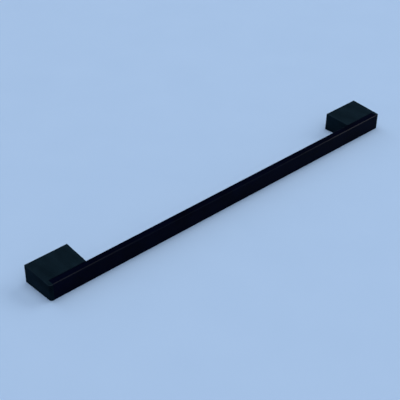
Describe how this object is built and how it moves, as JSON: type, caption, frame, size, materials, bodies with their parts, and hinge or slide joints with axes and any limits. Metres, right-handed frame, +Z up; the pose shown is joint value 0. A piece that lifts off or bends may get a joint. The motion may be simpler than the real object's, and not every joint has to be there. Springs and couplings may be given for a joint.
{
  "type": "oven door handle",
  "caption": "Flat black oven door handle: a hollow rectangular bar held off the door by drafted moulded brackets that take the door screws in threaded inserts.",
  "frame": {"origin": "midway between the two door screws, on the plane of the brackets' rear rims, where the door is", "axes": "+X along the bar, +Y from the front of the handle into the door, +Z up on the mounted handle"},
  "size_m": [0.47, 0.0395, 0.021],
  "materials": {
    "black_bar": "satin to gloss black lacquer over an aluminium extrusion",
    "black_moulding": "fine-grained matt black glass-filled plastic",
    "brass": "machined brass, knurled",
    "zinc_steel": "zinc-plated steel"
  },
  "bodies": {
    "root": {"handle_bar": "black_bar", "left_bracket": "black_moulding", "right_bracket": "black_moulding", "threaded_inserts": "brass", "bar_screws": "zinc_steel"}
  },
  "joints": []
}
